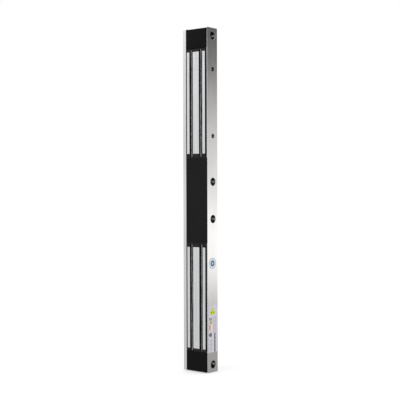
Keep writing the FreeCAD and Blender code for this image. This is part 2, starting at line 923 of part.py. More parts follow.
def make_bolt(name, z):
    """Socket-head bolt that clamps the channel to the mounting plate."""
    top = f"({UNDER_HEAD} + bolt_head_height)"
    rim_start = f"({top} - edge_break)"
    shank = rod_x(f"{name}_shank", "bolt_radius", "bolt_tip", UNDER_HEAD, "bolt_y", z)
    head = rod_x(f"{name}_head", "bolt_head_radius", UNDER_HEAD, rim_start, "bolt_y", z)
    rim = cone_x(
        f"{name}_rim", "bolt_head_radius", "bolt_head_radius - edge_break", rim_start, top, "bolt_y", z
    )
    key = hexagon_x(f"{name}_key", "bolt_key", f"{top} - bolt_key_depth", top, "bolt_y", z)
    return cut(f"{name}_bolt", fuse(f"{name}_turned", shank, head, rim), key)


def make_core_screw(name, z):
    """Countersunk screw through the channel wall into the core's outer leg."""
    # the head follows the countersink's slope, just inside it
    slope = "((countersink_radius - core_hole_radius) / wall)"
    top = f"({RIGHT} + (core_screw_head - core_screw_neck) / {slope})"
    shank = rod_x(
        f"{name}_shank", "core_screw_radius", "core_screw_tip", RIGHT, "core_screw_y", z
    )
    head = cone_x(
        f"{name}_head", "core_screw_neck", "core_screw_head", RIGHT, top, "core_screw_y", z
    )
    key = hexagon_x(f"{name}_key", "core_screw_key", f"{top} - wall", top, "core_screw_y", z)
    return cut(name, fuse(f"{name}_turned", shank, head), key)


# ---------------------------------------------------------------- circuit board
def board_holes():
    """Centres of the board's four screws."""
    return [
        (x, z)
        for x in ("board_left + board_screw_inset", "board_right - board_screw_inset")
        for z in ("board_half - board_screw_inset", "board_screw_inset - board_half")
    ]


def make_board():
    """Glass-fibre circuit board, screwed to the tray's bosses."""
    board = body("circuit_board")
    outline = sketch(board, "XZ_Plane", "-board_front")
    rectangle(outline, "board_left", "-board_half", "board_right", "board_half")
    for x, z in board_holes():
        circle(outline, x, z, "board_screw_radius + board_screw_gap")
    pad(board, outline, "board_wall", other_way=True)
    return board


def driver_bar(name, x, z, face, across):
    """A screwdriver's slot in a face, along X or along Z."""
    long, thin = "driver_reach", "driver_width / 2"
    half_x, half_z = (long, thin) if across else (thin, long)
    return box(
        name,
        f"{x} - {half_x}",
        face,
        f"{z} - {half_z}",
        f"{x} + {half_x}",
        f"{face} + driver_depth",
        f"{z} + {half_z}",
    )


def make_board_screw(index, x, z):
    """Pan-head screw that holds the board."""
    name = f"board_screw_{index}"
    face = "(board_front - board_head_height)"
    tip = f"{TRAY_BACK} - tray_wall - boss_floor - tap_margin"
    turned = fuse(
        f"{name}_turned",
        rod_y(f"{name}_shank", "board_screw_radius", "board_front", tip, x, z),
        rod_y(f"{name}_head", "board_head_radius", face, "board_front", x, z),
    )
    bars = [driver_bar(f"{name}_bar_{i}", x, z, face, i == 0) for i in range(2)]
    return cut(name, turned, *bars)


def terminal_heights():
    """Heights of the terminal block's ways."""
    return [f"{i - (TERMINAL_COUNT - 1) / 2} * terminal_pitch" for i in range(TERMINAL_COUNT)]


def make_terminal_block():
    """Screw terminal block: a wire entry on its left and a screw well at its front per way."""
    block = body("terminal_block")
    half = f"(terminal_pitch * {TERMINAL_COUNT / 2})"
    right = "terminal_left + terminal_depth"
    outline = rectangle(
        sketch(block, "XZ_Plane", "-board_front"), "terminal_left", f"-{half}", right, half
    )
    pad(block, outline, "terminal_height")
    face = "(board_front - terminal_height)"
    ledge = rectangle(
        sketch(block, "XY_Plane", half),
        "terminal_left",
        face,
        "terminal_left + terminal_ledge_width",
        f"{face} + terminal_ledge_depth",
    )
    pocket(block, ledge, f"2 * {half}")
    wells = sketch(block, "XZ_Plane", f"-{face}")
    entries = sketch(block, "YZ_Plane", "terminal_left")
    for z in terminal_heights():
        circle(wells, "terminal_well_x", z, "terminal_screw_radius + slip_gap")
        rectangle(entries, "entry_front", f"{z} - entry_half", "entry_back", f"{z} + entry_half")
    pocket(block, wells, "terminal_well_depth")
    pocket(block, entries, "entry_depth", other_way=True)
    return block


def make_terminal_screw(index, z):
    """Slotted clamp screw in a terminal's well."""
    name = f"terminal_screw_{index}"
    face = "(board_front - terminal_height + terminal_screw_drop)"
    back = f"{face} + terminal_screw_length"
    turned = rod_y(f"{name}_turned", "terminal_screw_radius", face, back, "terminal_well_x", z)
    return cut(name, turned, driver_bar(f"{name}_bar", "terminal_well_x", z, face, True))


def make_varistor():
    """Disc varistor that absorbs the coils' switch-off spike."""
    centre = "(board_front - varistor_lift)"
    disc = primitive("Cylinder", "varistor_disc", Radius="varistor_radius", Height="varistor_wall")
    moved(disc, "varistor_x", centre, "varistor_z - varistor_wall / 2")
    legs = [
        rod_y(
            f"varistor_leg_{i}",
            "varistor_leg_radius",
            centre,
            "board_front",
            f"varistor_x {way} varistor_leg_spread",
            "varistor_z",
        )
        for i, way in enumerate("-+")
    ]
    return fuse("varistor", disc, *legs)


def make_rectifier():
    """Bridge rectifier, so that either polarity of supply works."""
    case = box(
        "rectifier_case",
        "rectifier_left",
        "board_front - rectifier_height",
        "-rectifier_half",
        "rectifier_right",
        "board_front - rectifier_lift",
        "rectifier_half",
    )
    legs = [
        box(
            f"rectifier_leg_{edge}_{way}",
            f"rectifier_{edge} - rectifier_leg_reach",
            "board_front - rectifier_leg_rise",
            f"{way} * rectifier_leg_z - rectifier_leg_half",
            f"rectifier_{edge} + rectifier_leg_reach",
            "board_front",
            f"{way} * rectifier_leg_z + rectifier_leg_half",
        )
        for edge in ("left", "right")
        for way in (-1, 1)
    ]
    return fuse("rectifier", case, *legs)


def make_jumper():
    """Three-pin header with the cap that picks 12 or 24 volts."""
    base = box(
        "header_base",
        "header_x - header_half_width",
        "board_front - header_height",
        "header_z - header_half_length",
        "header_x + header_half_width",
        "board_front",
        "header_z + header_half_length",
    )
    heights = [f"header_z + {i - (PIN_COUNT - 1) / 2} * pin_pitch" for i in range(PIN_COUNT)]
    pin_tip = "board_front - pin_height"
    pins = [
        rod_y(f"header_pin_{i}", "pin_radius", pin_tip, "board_front", "header_x", z)
        for i, z in enumerate(heights)
    ]
    cap_back = "board_front - header_height - cap_gap"
    cap_low = "(header_z - header_half_length + cap_gap)"
    cap = box(
        "cap_block",
        "header_x - cap_half_width",
        f"{cap_back} - cap_height",
        cap_low,
        "header_x + cap_half_width",
        cap_back,
        f"{cap_low} + cap_length",
    )
    wells = [
        rod_y(f"cap_well_{i}", "pin_radius + cap_gap", f"{pin_tip} - cap_gap", cap_back, "header_x", z)
        for i, z in enumerate(heights[:-1])
    ]
    return group("voltage_jumper", [fuse("header", base, *pins), cut("jumper_cap", cap, *wells)])


def rounded_path(points):
    """A wire of straight runs joined by tangent arcs, and the arcs' radii."""
    edges, radii, start = [], [], points[0]
    for before, corner, after in zip(points, points[1:], points[2:]):
        incoming, outgoing = before - corner, after - corner
        half_turn = (math.pi - incoming.getAngle(outgoing)) / 2
        reach = ARC_SHARE * min(incoming.Length, outgoing.Length)
        radius = reach / math.tan(half_turn)
        incoming.normalize()
        outgoing.normalize()
        arc_start, arc_end = corner + incoming * reach, corner + outgoing * reach
        inward = (incoming + outgoing).normalize()
        middle = corner + inward * (radius / math.cos(half_turn) - radius)
        edges.append(Part.LineSegment(start, arc_start).toShape())
        edges.append(Part.Arc(arc_start, middle, arc_end).toShape())
        radii.append(radius)
        start = arc_end
    edges.append(Part.LineSegment(start, points[-1]).toShape())
    return Part.Wire(edges), radii


def lead_route(x, lean, side):
    """A lead's corners: out of the potting, over the sleeve and down to the board."""
    fall, dip = number("lead_fall_share"), number("lead_dip_share")
    corners = [V(x, -number("lead_rise_front"), side * number("tray_half + slip_gap * 2"))]
    for stop, share in (("rise", 0), ("crest", 1), ("fall", fall), ("dip", dip), ("end", 0)):
        front, height = number(f"lead_{stop}_front"), number(f"lead_{stop}_z")
        corners.append(V(x + share * lean, -front, side * height))
    corners.append(V(x, number("board_front"), side * number("lead_end_z")))
    return corners


def make_leads(name):
    """Two insulated wires from a coil, over the sleeve and down to the board."""
    radius = number("lead_radius")
    solids = []
    for place in ("left", "right"):
        x, lean = number(f"lead_{place}_x"), number(f"lead_{place}_lean")
        path, radii = rounded_path(lead_route(x, lean, SIDES[name]))
        start, heading = path.Edges[0].valueAt(0), path.Edges[0].tangentAt(0)
        section = Part.Wire(Part.Circle(start, heading, radius).toShape())
        solid = path.makePipeShell([section], True, True)
        expected = math.pi * radius**2 * path.Length
        print(f"{name} lead: arc radii {[round(r, 1) for r in radii]} mm")
        print(f"{name} lead: volume over section times length {solid.Volume / expected:.4f}")
        solids.append(solid)
    leads = doc.addObject("Part::Feature", f"{name}_coil_leads")
    leads.Shape = Part.makeCompound(solids)
    leads.Placement = FreeCAD.Placement()
    return leads


# ---------------------------------------------------------------- labels
def make_label():
    """Thin printed label on the channel's side."""
    return box(
        "rating_label",
        OUTSIDE,
        "label_front",
        "label_low",
        f"{OUTSIDE} + label_wall",
        "label_front + label_width",
        "label_low + label_length",
    )


def make_sticker():
    """Round sticker on the channel's side."""
    outer = f"{OUTSIDE} + label_wall"
    return rod_x("round_sticker", "sticker_radius", OUTSIDE, outer, "sticker_y", "sticker_z")


# ---------------------------------------------------------------- the whole lock
def make_lock():
    """Every sub-part of the lock. A sub-part's label names its file."""
    channel = make_channel()
    subparts = [
        channel,
        make_mounting_plate(),
        make_grommet(),
        make_cover(),
        make_tray(),
        group("bolt_sleeves", [make_sleeve(name, z) for name, z in BOLTS.items()]),
        group("bolt_washers", [make_washer(name, z) for name, z in BOLTS.items()]),
        group("through_bolts", [make_bolt(name, z) for name, z in BOLTS.items()]),
        make_board(),
        group("board_screws", [make_board_screw(i, *at) for i, at in enumerate(board_holes())]),
        make_terminal_block(),
        group(
            "terminal_screws", [make_terminal_screw(i, z) for i, z in enumerate(terminal_heights())]
        ),
        make_varistor(),
        make_rectifier(),
        make_jumper(),
        make_label(),
        make_sticker(),
    ]
    core_screws = []
    for name in SIDES:
        magnet, screws = make_magnet(name, channel)
        subparts += [make_end_block(name), make_leads(name), *magnet]
        core_screws += screws
    return [*subparts, group("core_screws", core_screws)]


def write_parts(subparts):
    """Checks every object, then writes each sub-part's STEP file."""
    doc.recompute()
    for item in doc.Objects:
        if {"Invalid", "Error"} & set(item.State):
            raise RuntimeError(f"{item.Label} failed: {item.State}")
    for item in subparts:
        if item.Label != item.Name:
            raise RuntimeError(f"two objects are called {item.Label}")
        if item.Shape.isNull() or not item.Shape.isValid() or not item.Shape.Solids:
            raise RuntimeError(f"{item.Label} has no valid solid")
    os.makedirs("parts", exist_ok=True)
    for item in subparts:
        item.Shape.exportStep(f"parts/{item.Label}.step")
        bounds = item.Shape.BoundBox
        print(
            f"{item.Label}: {len(item.Shape.Solids)} solids, {item.Shape.Volume:.0f} mm3,"
            f" x {bounds.XMin:.2f} to {bounds.XMax:.2f}, y {bounds.YMin:.2f} to"
            f" {bounds.YMax:.2f}, z {bounds.ZMin:.2f} to {bounds.ZMax:.2f}"
        )


write_parts(make_lock())
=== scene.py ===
import json
import math

import bpy
from mathutils import Matrix, Vector, noise


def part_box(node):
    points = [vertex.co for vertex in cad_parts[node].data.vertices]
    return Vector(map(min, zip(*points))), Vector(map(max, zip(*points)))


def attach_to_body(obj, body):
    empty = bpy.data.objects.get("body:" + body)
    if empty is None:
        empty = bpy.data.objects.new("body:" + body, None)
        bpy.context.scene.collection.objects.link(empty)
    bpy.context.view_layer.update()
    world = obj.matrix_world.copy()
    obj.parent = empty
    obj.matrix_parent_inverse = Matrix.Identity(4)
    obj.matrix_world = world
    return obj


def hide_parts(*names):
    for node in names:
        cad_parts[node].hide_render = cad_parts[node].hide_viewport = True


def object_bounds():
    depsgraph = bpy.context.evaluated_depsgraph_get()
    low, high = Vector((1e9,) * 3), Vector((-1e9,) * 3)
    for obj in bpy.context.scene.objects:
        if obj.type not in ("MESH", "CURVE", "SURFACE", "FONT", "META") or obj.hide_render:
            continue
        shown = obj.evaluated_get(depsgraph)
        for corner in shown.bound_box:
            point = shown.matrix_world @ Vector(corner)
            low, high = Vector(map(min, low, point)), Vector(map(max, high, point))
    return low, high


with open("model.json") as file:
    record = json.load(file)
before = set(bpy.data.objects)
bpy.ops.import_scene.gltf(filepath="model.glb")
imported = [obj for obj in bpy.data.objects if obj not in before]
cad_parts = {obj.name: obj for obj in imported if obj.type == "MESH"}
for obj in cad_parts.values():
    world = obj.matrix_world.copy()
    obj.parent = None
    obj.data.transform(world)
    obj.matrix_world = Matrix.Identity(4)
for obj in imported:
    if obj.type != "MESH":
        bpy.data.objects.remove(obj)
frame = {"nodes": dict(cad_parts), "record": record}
CAD_LOW, CAD_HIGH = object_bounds()

MM = 0.001
BODY = "lock_body"
SIDES = ("upper", "lower")


# ---------------------------------------------------------------- node trees

def node(tree, kind, inputs=None, **settings):
    """One shader node with its settings, and its inputs set to values or linked to sockets."""
    made = tree.nodes.new("ShaderNode" + kind)
    for name, value in settings.items():
        setattr(made, name, value)
    for key, value in (inputs or {}).items():
        attach(tree, made.inputs[key], value)
    return made


def attach(tree, socket, value):
    """Links a socket to another one, or sets it to a value."""
    if isinstance(value, bpy.types.NodeSocket):
        tree.links.new(value, socket)
    else:
        socket.default_value = value


def calc(tree, operation, first, second=0.0, third=0.0):
    """The output of one Math node."""
    return node(tree, "Math", {0: first, 1: second, 2: third}, operation=operation).outputs[0]


def span(tree, value, start, end, low=0.0, high=1.0, curve="LINEAR"):
    """Runs evenly from low to high as the value goes from start to end."""
    inputs = {"Value": value, "From Min": start, "From Max": end, "To Min": low, "To Max": high}
    return node(tree, "MapRange", inputs, interpolation_type=curve).outputs["Result"]


def fade(tree, value, start, end):
    """Runs smoothly from 0 to 1 as the value goes from start to end."""
    return span(tree, value, start, end, curve="SMOOTHSTEP")


def mingle(tree, first, share, second):
    """A share of one value with the rest of another."""
    rest = calc(tree, "MULTIPLY", second, 1.0 - share)
    return calc(tree, "MULTIPLY_ADD", first, share, rest)


def blend(tree, factor, first, second):
    """Two colours mixed by a factor; these are the sockets of a Mix node that mixes colours."""
    mix = node(tree, "Mix", {0: factor, 6: first, 7: second}, data_type="RGBA")
    return mix.outputs[2]


def place(tree):
    """The point on the piece, in metres in the row's frame."""
    return node(tree, "TexCoord").outputs["Object"]


def axis_of(tree, vector, axis):
    """One part of a vector."""
    return node(tree, "SeparateXYZ", {0: vector}).outputs[axis]


def front_facing(tree):
    """The flat normal's part along Y: -1 on faces that look to the front."""
    return axis_of(tree, node(tree, "NewGeometry").outputs["True Normal"], "Y")


def round_the_bar(tree):
    """The direction round the bar, which its brushed lines cross."""
    return node(tree, "Tangent", direction_type="RADIAL", axis="Z").outputs[0]


# Each grain's waves per metre along X, Y and Z, and its layers of detail.
GRAINS = {
    "brushed lines": (5200.0, 5200.0, 45.0, 3.0),
    "deep lines": (1900.0, 1900.0, 14.0, 1.0),
    "steel marks": (55.0, 55.0, 16.0, 4.0),
    "die lines": (2600.0, 2600.0, 9.0, 2.0),
    "frost": (9000.0, 9000.0, 9000.0, 1.0),
    "aluminium marks": (40.0, 40.0, 14.0, 4.0),
    "ground lines": (3800.0, 3800.0, 60.0, 2.0),
    "pole patches": (260.0, 260.0, 42.0, 5.0),
    "pole streaks": (420.0, 420.0, 4.0, 2.0),
    "paint peel": (900.0, 900.0, 900.0, 2.0),
    "paint patches": (220.0, 220.0, 220.0, 4.0),
    "spark skin": (2400.0, 2400.0, 2400.0, 2.0),
    "coarse skin": (700.0, 700.0, 700.0, 2.0),
    "handling": (45.0, 45.0, 22.0, 3.0),
    "tray flow": (90.0, 90.0, 30.0, 4.0),
    "tray skin": (1800.0, 1800.0, 1800.0, 2.0),
    "bloom": (350.0, 350.0, 350.0, 5.0),
    "rubber skin": (3000.0, 3000.0, 3000.0, 2.0),
    "plating clouds": (420.0, 420.0, 420.0, 4.0),
    "turned marks": (5000.0, 5000.0, 5000.0, 1.0),
    "blackening clouds": (600.0, 600.0, 600.0, 4.0),
    "oxide clouds": (500.0, 500.0, 500.0, 4.0),
    "glass weave": (1400.0, 1400.0, 1400.0, 1.0),
    "mould flow": (160.0, 160.0, 160.0, 4.0),
    "mould skin": (2200.0, 2200.0, 2200.0, 2.0),
    "enamel": (300.0, 4000.0, 60.0, 2.0),
    "resin ripple": (190.0, 190.0, 60.0, 2.0),
    "resin dust": (900.0, 900.0, 260.0, 4.0),
    "crest marks": (1500.0, 1500.0, 120.0, 4.0),
    "paper tooth": (1600.0, 1600.0, 1600.0, 3.0),
    "uneven ink": (240.0, 240.0, 240.0, 3.0),
    "floor": (3.0, 3.0, 3.0, 3.0),
}


def grain(tree, name, roughness=0.55):
    """One of the grains above, as noise from 0 to 1."""
    *waves, detail = GRAINS[name]
    stretched = node(tree, "Mapping", {"Vector": place(tree), "Scale": waves}).outputs[0]
    inputs = {"Vector": stretched, "Scale": 1.0, "Detail": detail, "Roughness": roughness}
    return node(tree, "TexNoise", inputs).outputs["Fac"]


# Parts of a grain's range, as the start and end of a span or a fade.
MOST = (0.2, 0.8)
BULK = (0.25, 0.75)
MIDDLE = (0.3, 0.7)


def relief(tree, height, depth, strength, under=None):
    """A bumped normal of a depth in metres, over another one if there is one."""
    inputs = {"Height": height, "Distance": depth, "Strength": strength}
    if under:
        inputs["Normal"] = under
    return node(tree, "Bump", inputs).outputs[0]


PLAIN = (1.0, 1.0, 1.0)
WARM = (1.0, 0.985, 0.965)
COOL = (0.97, 0.985, 1.0)


def rgb(red, green, blue):
    """An opaque colour."""
    return red, green, blue, 1.0


def grey(level, tint=PLAIN):
    """An opaque grey with a slight tint."""
    return rgb(*(level * part for part in tint))


def tones(tree, factor, dark, light, tint=PLAIN):
    """A grey that goes from dark to light with a factor."""
    return blend(tree, factor, grey(dark, tint), grey(light, tint))


def finish(name, **inputs):
    """A new material: its tree, and its Principled shader to fill in."""
    material = bpy.data.materials.new(name)
    material.use_nodes = True
    tree = material.node_tree
    tree.nodes.clear()
    shader = node(tree, "BsdfPrincipled")
    node(tree, "OutputMaterial", {"Surface": shader.outputs[0]})
    feed(tree, shader, **inputs)
    return material, tree, shader


def feed(tree, shader, **inputs):
    """Links or sets the shader's inputs; an underscore in a name stands for a space."""
    for key, value in inputs.items():
        attach(tree, shader.inputs[key.replace("_", " ")], value)


# ---------------------------------------------------------------- materials

def stainless():
    """Brushed along the channel: fine lines, a few deeper ones, and soft handling marks."""
    material, tree, shader = finish("stainless_steel_finish", Metallic=1.0, Anisotropic=0.92)
    lines = grain(tree, "brushed lines")
    deep = fade(tree, grain(tree, "deep lines"), start=0.64, end=0.72)
    tone = mingle(tree, grain(tree, "steel marks"), 0.5, lines)
    colour = tones(tree, fade(tree, tone, *MIDDLE), dark=0.57, light=0.66, tint=WARM)
    colour = blend(tree, calc(tree, "MULTIPLY", deep, 0.3), colour, grey(0.42, WARM))
    feed(tree, shader, Base_Color=colour, Tangent=round_the_bar(tree))
    feed(tree, shader, Roughness=span(tree, tone, *MOST, low=0.2, high=0.27))
    feed(tree, shader, Normal=relief(tree, lines, depth=0.012 * MM, strength=0.5))
    return material


def satin_aluminium():
    """Extruded and anodised: faint die lines along the plate, and the inside of its lip painted near-black.
    """
    material, tree, shader = finish("aluminium_finish", Specular_IOR_Level=0.2)
    chamfer = 0.29 * MM
    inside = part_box("mounting_plate")[1].x - chamfer
    # The inside of the lip is painted near-black and not metallic.
    lip_inside_black = calc(tree, "GREATER_THAN", axis_of(tree, place(tree), "X"), inside)
    lines = grain(tree, "die lines")
    frost = grain(tree, "frost")
    tone = mingle(tree, lines, 0.4, grain(tree, "aluminium marks"))
    colour = tones(tree, fade(tree, tone, *MIDDLE), dark=0.60, light=0.67, tint=WARM)
    colour = blend(tree, lip_inside_black, colour, grey(0.01, COOL))
    height = calc(tree, "ADD", lines, frost)
    feed(tree, shader, Base_Color=colour, Metallic=calc(tree, "SUBTRACT", 1.0, lip_inside_black))
    feed(tree, shader, Roughness=span(tree, frost, *MOST, low=0.3, high=0.4))
    feed(tree, shader, Normal=relief(tree, height, depth=0.01 * MM, strength=0.5))
    return material


def ground_core():
    """Laminations: poles ground bright and a little patchy, all other faces dark with varnish."""
    material, tree, shader = finish("core_steel_finish", Specular_IOR_Level=0.3)
    sheet, seam = 0.5 * MM, 0.08 * MM
    ground = fade(tree, front_facing(tree), start=-0.85, end=-0.95)
    from_joint = calc(tree, "PINGPONG", axis_of(tree, place(tree), "Z"), sheet / 2)
    joint = fade(tree, from_joint, start=seam, end=0.0)
    patches = grain(tree, "pole patches", roughness=0.6)
    tone = mingle(tree, patches, 0.45, grain(tree, "pole streaks"))
    colour = tones(tree, fade(tree, tone, start=0.34, end=0.64), dark=0.59, light=0.71, tint=COOL)
    colour = blend(tree, calc(tree, "MULTIPLY", joint, 0.22), colour, grey(0.3))
    varnish = tones(tree, patches, dark=0.008, light=0.018, tint=WARM)
    gloss = span(tree, patches, *BULK, low=0.24, high=0.36)
    height = calc(tree, "MULTIPLY_ADD", joint, -0.6, grain(tree, "ground lines"))
    feed(tree, shader, Base_Color=blend(tree, ground, varnish, colour), Metallic=ground)
    feed(tree, shader, Roughness=blend(tree, ground, grey(0.5), gloss))
    feed(tree, shader, Normal=relief(tree, height, depth=0.01 * MM, strength=0.5))
    feed(tree, shader, Anisotropic=calc(tree, "MULTIPLY", ground, 0.5), Tangent=round_the_bar(tree))
    return material


def core_plate():
    """Dark grey paint with a little orange peel, worn thin here and there."""
    material, tree, shader = finish("core_plate_finish", Specular_IOR_Level=0.15)
    patches = grain(tree, "paint patches")
    worn = fade(tree, patches, start=0.6, end=0.7)
    colour = tones(tree, patches, dark=0.006, light=0.014, tint=COOL)
    feed(tree, shader, Base_Color=blend(tree, worn, colour, grey(0.03)))
    feed(tree, shader, Roughness=span(tree, patches, *MOST, low=0.34, high=0.5))
    feed(tree, shader, Normal=relief(tree, grain(tree, "paint peel"), depth=0.05 * MM, strength=0.5))
    return material


def moulded_black(name, dark, light):
    """Matt black plastic with a fine spark-eroded skin, slightly polished where it is handled."""
    material, tree, shader = finish(name, Specular_IOR_Level=0.05)
    handled = grain(tree, "handling")
    coarse = relief(tree, grain(tree, "coarse skin"), depth=0.08 * MM, strength=0.4)
    fine = relief(tree, grain(tree, "spark skin"), depth=0.05 * MM, strength=0.6, under=coarse)
    feed(tree, shader, Base_Color=tones(tree, handled, dark, light, COOL), Normal=fine)
    feed(tree, shader, Roughness=span(tree, handled, *MIDDLE, low=0.66, high=0.52))
    return material


def tray_plastic():
    """Dark grey moulded plastic with faint flow marks."""
    material, tree, shader = finish("tray_plastic_finish", Specular_IOR_Level=0.3)
    flow = grain(tree, "tray flow")
    feed(tree, shader, Base_Color=tones(tree, flow, dark=0.018, light=0.030, tint=COOL))
    feed(tree, shader, Roughness=span(tree, flow, *MOST, low=0.42, high=0.56))
    feed(tree, shader, Normal=relief(tree, grain(tree, "tray skin"), depth=0.04 * MM, strength=0.5))
    return material


def soft_rubber():
    """Matt rubber with a dusty bloom."""
    material, tree, shader = finish("rubber_finish", Roughness=0.7, Specular_IOR_Level=0.3)
    bloom = fade(tree, grain(tree, "bloom"), start=0.4, end=0.75)
    feed(tree, shader, Base_Color=blend(tree, bloom, grey(0.012), grey(0.034, WARM)))
    feed(tree, shader, Normal=relief(tree, grain(tree, "rubber skin"), depth=0.04 * MM, strength=0.5))
    return material


def plated(name, dark, light, tint, smooth, dull):
    """Plated steel: fine turned marks and a cloudy tone."""
    material, tree, shader = finish(name, Metallic=1.0)
    clouds = grain(tree, "plating clouds")
    feed(tree, shader, Base_Color=tones(tree, fade(tree, clouds, *MIDDLE), dark, light, tint))
    feed(tree, shader, Roughness=span(tree, clouds, *BULK, low=smooth, high=dull))
    feed(tree, shader, Normal=relief(tree, grain(tree, "turned marks"), depth=0.012 * MM, strength=0.4))
    return material


def blackened_painted_highlight(name, start, end, dark, light):
    """Blackened steel with a painted highlight: a lighter colour on faces whose front-facing part goes from
    start to end.
    """
    material, tree, shader = finish(name, Specular_IOR_Level=0.12)
    # Painted highlight: faces that look to the front take the lighter colour, standing in for light mirrored
    # from the front.
    bright = fade(tree, front_facing(tree), start, end)
    clouds = grain(tree, "blackening clouds")
    blackened = blend(tree, clouds, grey(0.7 * dark, COOL), grey(1.3 * dark, WARM))
    glint_paint = tones(tree, clouds, dark=0.85 * light, light=1.1 * light)
    feed(tree, shader, Base_Color=blend(tree, bright, blackened, glint_paint))
    feed(tree, shader, Roughness=span(tree, clouds, *MOST, low=0.42, high=0.6))
    feed(tree, shader, Normal=relief(tree, clouds, depth=0.02 * MM, strength=0.4))
    return material


def black_oxide():
    """Blackened steel with a brown cast where the oil has dried."""
    material, tree, shader = finish("black_oxide_finish", Metallic=0.6)
    clouds = grain(tree, "oxide clouds")
    feed(tree, shader, Base_Color=blend(tree, clouds, grey(0.028, COOL), rgb(0.052, 0.044, 0.038)))
    feed(tree, shader, Roughness=span(tree, clouds, *MOST, low=0.3, high=0.48))
    feed(tree, shader, Normal=relief(tree, clouds, depth=0.02 * MM, strength=0.4))
    return material


def solder_mask():
    """Green mask over the glass weave, with lighter tracks under it."""
    material, tree, shader = finish("circuit_board_finish", Roughness=0.28)
    upright = (math.radians(90.0), 0.0, 0.0)
    turned = node(tree, "Mapping", {"Vector": place(tree), "Rotation": upright}).outputs[0]
    sizes = {"Vector": turned, "Scale": 1.0, "Mortar Size": 0.35 * MM, "Mortar Smooth": 0.1,
             "Brick Width": 11.0 * MM, "Row Height": 3.1 * MM}
    tracks = node(tree, "TexBrick", sizes, offset=0.37, squash=0.6, squash_frequency=3).outputs["Fac"]
    weave = grain(tree, "glass weave")
    mask = blend(tree, weave, rgb(0.010, 0.075, 0.035), rgb(0.014, 0.105, 0.048))
    height = calc(tree, "ADD", tracks, calc(tree, "MULTIPLY", weave, 0.2))
    feed(tree, shader, Base_Color=blend(tree, tracks, mask, rgb(0.035, 0.21, 0.085)))
    feed(tree, shader, Normal=relief(tree, height, depth=0.035 * MM, strength=0.7))
    return material


def moulded(name, dark, light, smooth, dull):
    """Moulded or dipped plastic: a soft variation in tone and gloss over a fine skin."""
    material, tree, shader = finish(name)
    flow = grain(tree, "mould flow")
    feed(tree, shader, Base_Color=blend(tree, fade(tree, flow, *MIDDLE), dark, light))
    feed(tree, shader, Roughness=span(tree, flow, *BULK, low=smooth, high=dull))
    feed(tree, shader, Normal=relief(tree, grain(tree, "mould skin"), depth=0.03 * MM, strength=0.5))
    return material


def wound_copper():
    """Enamelled wire laid side by side round the middle leg."""
    material, tree, shader = finish("copper_finish", Metallic=1.0, Roughness=0.3)
    wire_radius = 0.2 * MM
    turn = calc(tree, "PINGPONG", axis_of(tree, place(tree), "Y"), wire_radius)
    wire = calc(tree, "SQRT", calc(tree, "DIVIDE", turn, wire_radius))
    colour = blend(tree, grain(tree, "enamel"), rgb(0.50, 0.17, 0.06), rgb(0.74, 0.30, 0.12))
    feed(tree, shader, Base_Color=colour, Coat_Weight=0.6, Coat_Roughness=0.15)
    feed(tree, shader, Normal=relief(tree, wire, depth=0.15 * MM, strength=0.8))
    return material


def poured_resin():
    """Glossy black resin with slow ripples and a dusting of grinding swarf."""
    material, tree, shader = finish("epoxy_finish", Specular_IOR_Level=0.22)
    ripple = grain(tree, "resin ripple")
    dust = fade(tree, grain(tree, "resin dust"), start=0.56, end=0.78)
    colour = blend(tree, calc(tree, "MULTIPLY", dust, 0.4), grey(0.004, COOL), grey(0.05))
    feed(tree, shader, Base_Color=colour, Roughness=span(tree, ripple, *MIDDLE, low=0.08, high=0.2))
    feed(tree, shader, Normal=relief(tree, ripple, depth=0.25 * MM, strength=0.5))
    return material


def painted_glint_resin():
    """The resin's crest in a lighter grey: a painted glint, standing in for light mirrored off the crest."""
    material, tree, shader = finish("painted_glint_resin_finish", Specular_IOR_Level=0.4)
    marks = grain(tree, "crest marks")
    # Painted glint: the crest's grey tone.
    glint_paint = fade(tree, marks, start=0.35, end=0.65)
    feed(tree, shader, Base_Color=tones(tree, glint_paint, dark=0.14, light=0.38))
    feed(tree, shader, Roughness=span(tree, marks, *MOST, low=0.3, high=0.5))
    feed(tree, shader, Normal=relief(tree, marks, depth=0.03 * MM, strength=0.5))
    return material


def film(name, colour, gloss):
    """Printed film: even ink with a slight paper tooth."""
    material, tree, shader = finish(name, Specular_IOR_Level=0.35)
    uneven = grain(tree, "uneven ink")
    thin = rgb(*(0.9 * part for part in colour))
    feed(tree, shader, Base_Color=blend(tree, uneven, thin, rgb(*colour)))
    feed(tree, shader, Roughness=span(tree, uneven, *MOST, low=gloss, high=gloss + 0.15))
    feed(tree, shader, Normal=relief(tree, grain(tree, "paper tooth"), depth=0.01 * MM, strength=0.4))
    return material


